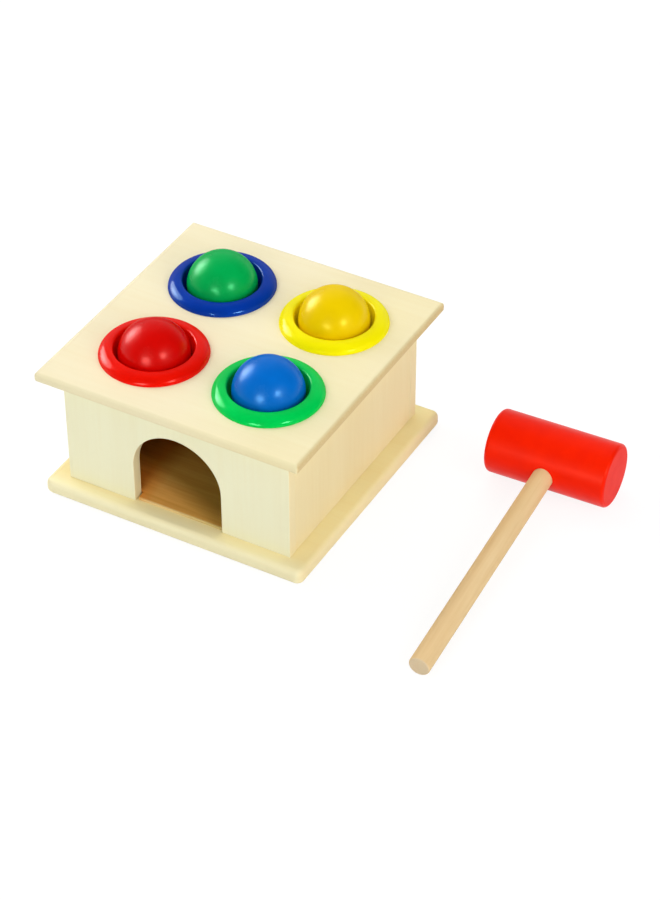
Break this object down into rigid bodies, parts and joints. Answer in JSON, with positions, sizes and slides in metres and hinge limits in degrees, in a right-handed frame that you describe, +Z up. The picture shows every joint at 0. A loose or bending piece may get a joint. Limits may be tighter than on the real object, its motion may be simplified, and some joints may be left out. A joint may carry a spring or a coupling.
{
  "type": "ball pounding toy",
  "caption": "Wooden box with coloured balls held in plastic rings on top, struck through with a mallet onto an inner ramp, from which they roll out of an arched doorway.",
  "frame": {"origin": "middle of the base plate's underside, on the surface that the box stands on", "axes": "+Z up, +X to the right along the front wall, towards the mallet, and the doorway faces -Y"},
  "size_m": [0.2094, 0.1445, 0.0794],
  "materials": {
    "plate_wood": "plain sanded wood",
    "wall_wood": "plain sanded wood",
    "ramp_wood": "plain sanded wood",
    "handle_wood": "plain sanded wood",
    "nail_steel": "bright steel wire",
    "ring_blue": "glossy flexible plastic",
    "ring_yellow": "glossy flexible plastic",
    "ring_red": "glossy flexible plastic",
    "ring_green": "glossy flexible plastic",
    "ball_green": "gloss paint on wood",
    "ball_yellow": "gloss paint on wood",
    "ball_red": "gloss paint on wood",
    "ball_blue": "gloss paint on wood",
    "hammer_paint": "satin paint on wood"
  },
  "bodies": {
    "box": {"base_plate": "plate_wood", "top_plate": "plate_wood", "front_wall": "wall_wood", "back_wall": "wall_wood", "left_wall": "wall_wood", "right_wall": "wall_wood", "ramp": "ramp_wood", "ramp_wedge_left": "ramp_wood", "ramp_wedge_right": "ramp_wood", "base_nail_1": "nail_steel", "base_nail_2": "nail_steel", "base_nail_3": "nail_steel", "base_nail_4": "nail_steel", "base_nail_5": "nail_steel", "base_nail_6": "nail_steel", "base_nail_7": "nail_steel", "base_nail_8": "nail_steel", "ring_blue": "ring_blue", "ring_yellow": "ring_yellow", "ring_red": "ring_red", "ring_green": "ring_green"},
    "ball_green": {"ball_green": "ball_green"},
    "ball_yellow": {"ball_yellow": "ball_yellow"},
    "ball_red": {"ball_red": "ball_red"},
    "ball_blue": {"ball_blue": "ball_blue"},
    "hammer": {"hammer_head": "hammer_paint", "hammer_handle": "handle_wood"}
  },
  "joints": [
    {"name": "ball_green_drop", "type": "slide", "parent": "box", "child": "ball_green", "axis": [0, 0, 1], "range_m": [-0.0292, 0.02], "deforming": ["ring_blue"]},
    {"name": "ball_yellow_drop", "type": "slide", "parent": "box", "child": "ball_yellow", "axis": [0, 0, 1], "range_m": [-0.0298, 0.02], "deforming": ["ring_yellow"]},
    {"name": "ball_red_drop", "type": "slide", "parent": "box", "child": "ball_red", "axis": [0, 0, 1], "range_m": [-0.0361, 0.02], "deforming": ["ring_red"]},
    {"name": "ball_blue_drop", "type": "slide", "parent": "box", "child": "ball_blue", "axis": [0, 0, 1], "range_m": [-0.037, 0.02], "deforming": ["ring_green"]},
    {"name": "hammer_lift", "type": "slide", "parent": "box", "child": "hammer", "axis": [0, 0, 1], "range_m": [0, 0.12]}
  ]
}
